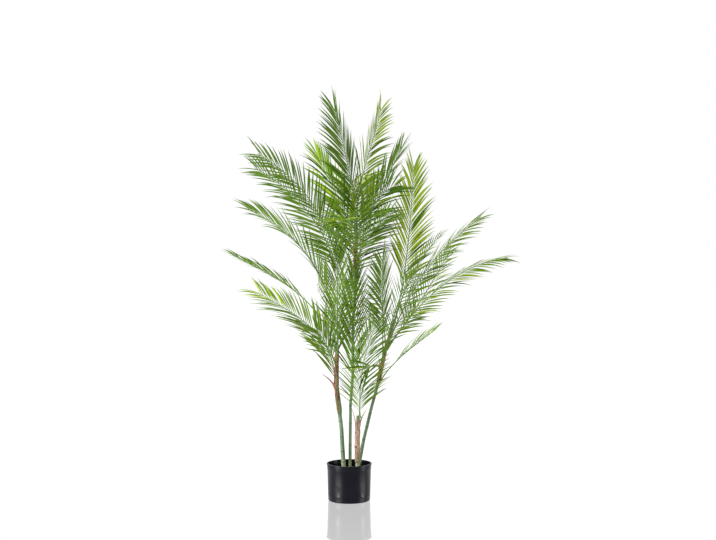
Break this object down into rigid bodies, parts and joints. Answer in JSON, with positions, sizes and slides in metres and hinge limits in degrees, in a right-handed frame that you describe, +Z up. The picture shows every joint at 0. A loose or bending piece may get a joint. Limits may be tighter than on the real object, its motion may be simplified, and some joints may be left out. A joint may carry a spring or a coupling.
{
  "type": "artificial potted chamaedorea palm",
  "caption": "Artificial feather palm with four slender stems and arching pinnate fronds, set in a plain black round nursery pot.",
  "frame": {"origin": "middle of the pot's flat underside, on the floor", "axes": "+Z up; +X to the right across the widest spread of the fronds; -Y faces the viewer"},
  "size_m": [1.0601, 0.7542, 1.5179],
  "materials": {
    "pot_plastic": "satin",
    "cast_fill": "matte",
    "stem_plastic": "satin",
    "sheath_fibre": "matte",
    "leaf_fabric": "satin"
  },
  "bodies": {
    "root": {"fill": "cast_fill", "frond_front_1": "leaf_fabric", "frond_left_1": "leaf_fabric", "frond_left_2": "leaf_fabric", "frond_left_3": "leaf_fabric", "frond_left_4": "leaf_fabric", "frond_left_5": "leaf_fabric", "frond_left_6": "leaf_fabric", "frond_left_7": "leaf_fabric", "frond_middle_1": "leaf_fabric", "frond_middle_10": "leaf_fabric", "frond_middle_11": "leaf_fabric", "frond_middle_12": "leaf_fabric", "frond_middle_13": "leaf_fabric", "frond_middle_2": "leaf_fabric", "frond_middle_3": "leaf_fabric", "frond_middle_4": "leaf_fabric", "frond_middle_5": "leaf_fabric", "frond_middle_6": "leaf_fabric", "frond_middle_7": "leaf_fabric", "frond_middle_8": "leaf_fabric", "frond_middle_9": "leaf_fabric", "frond_right_1": "leaf_fabric", "frond_right_10": "leaf_fabric", "frond_right_11": "leaf_fabric", "frond_right_2": "leaf_fabric", "frond_right_3": "leaf_fabric", "frond_right_4": "leaf_fabric", "frond_right_5": "leaf_fabric", "frond_right_6": "leaf_fabric", "frond_right_7": "leaf_fabric", "frond_right_8": "leaf_fabric", "frond_right_9": "leaf_fabric", "pot": "pot_plastic", "sheath_front": "sheath_fibre", "sheath_left": "sheath_fibre", "sheath_middle": "sheath_fibre", "sheath_right": "sheath_fibre", "stem_front": "stem_plastic", "stem_left": "stem_plastic", "stem_middle": "stem_plastic", "stem_right": "stem_plastic"}
  },
  "joints": []
}
